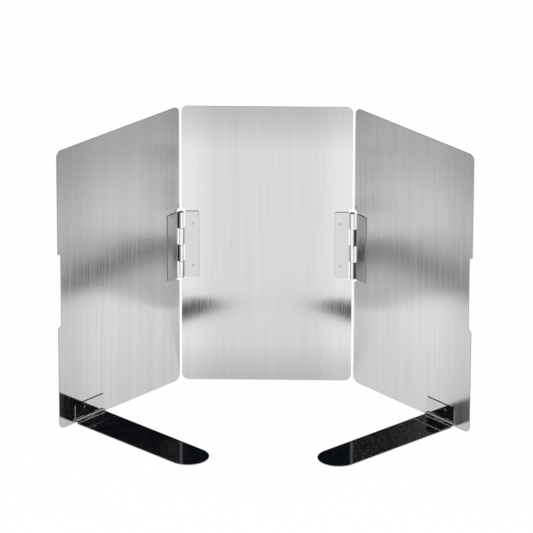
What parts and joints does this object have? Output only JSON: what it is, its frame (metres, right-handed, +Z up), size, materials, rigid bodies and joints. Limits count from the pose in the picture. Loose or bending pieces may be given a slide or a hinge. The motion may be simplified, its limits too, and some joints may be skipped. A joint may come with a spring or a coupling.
{
  "type": "stove windscreen",
  "caption": "Folding free-standing stove windscreen of brushed stainless sheet: a centre panel with a hinged wing on each side and a round-ended foot that folds out of each wing.",
  "frame": {"origin": "on the ground, under the middle of the opened screen's bounding box", "axes": "+X across the centre panel, +Y away from the stove through the centre panel, +Z up"},
  "size_m": [0.4126, 0.2134, 0.3],
  "materials": {
    "panel_sheet": "bright stainless sheet with a fine upright hairline grain",
    "hinge_leaf": "smooth pressed stainless, satin, with faint spot-weld marks",
    "hinge_pin": "drawn steel pin, bright",
    "foot_sheet": "mirror-bright stainless sheet with faint lengthwise grain"
  },
  "bodies": {
    "centre": {"centre_panel": "panel_sheet", "left_hinge_centre_leaf": "hinge_leaf", "left_hinge_pin": "hinge_pin", "right_hinge_centre_leaf": "hinge_leaf", "right_hinge_pin": "hinge_pin"},
    "left_wing": {"left_panel": "panel_sheet", "left_hinge_wing_leaf": "hinge_leaf", "left_foot_panel_leaf": "hinge_leaf", "left_foot_pin": "hinge_pin"},
    "right_wing": {"right_panel": "panel_sheet", "right_hinge_wing_leaf": "hinge_leaf", "right_foot_panel_leaf": "hinge_leaf", "right_foot_pin": "hinge_pin"},
    "left_foot": {"left_foot_plate": "foot_sheet", "left_foot_leaf": "hinge_leaf"},
    "right_foot": {"right_foot_plate": "foot_sheet", "right_foot_leaf": "hinge_leaf"}
  },
  "joints": [
    {"name": "left_wing_fold", "type": "hinge", "parent": "centre", "child": "left_wing", "pos_m": [-0.0868, 0.10332, 0], "axis": [0, 0, 1], "range_deg": [0, 132.5]},
    {"name": "left_foot_fold", "type": "hinge", "parent": "left_wing", "child": "left_foot", "pos_m": [-0.17624, 0.00719, 0.00235], "axis": [-0.6756, -0.7373, 0], "range_deg": [0, 90]},
    {"name": "right_wing_fold", "type": "hinge", "parent": "centre", "child": "right_wing", "pos_m": [0.0868, 0.10332, 0], "axis": [0, 0, -1], "range_deg": [0, 92]},
    {"name": "right_foot_fold", "type": "hinge", "parent": "right_wing", "child": "right_foot", "pos_m": [0.17624, 0.00719, 0.00235], "axis": [-0.6756, 0.7373, 0], "range_deg": [0, 90]}
  ],
  "couplings": [
    {"joint": "left_foot_fold", "follows": "left_wing_fold", "ratio": 0.6792},
    {"joint": "right_foot_fold", "follows": "right_wing_fold", "ratio": 0.9782}
  ]
}
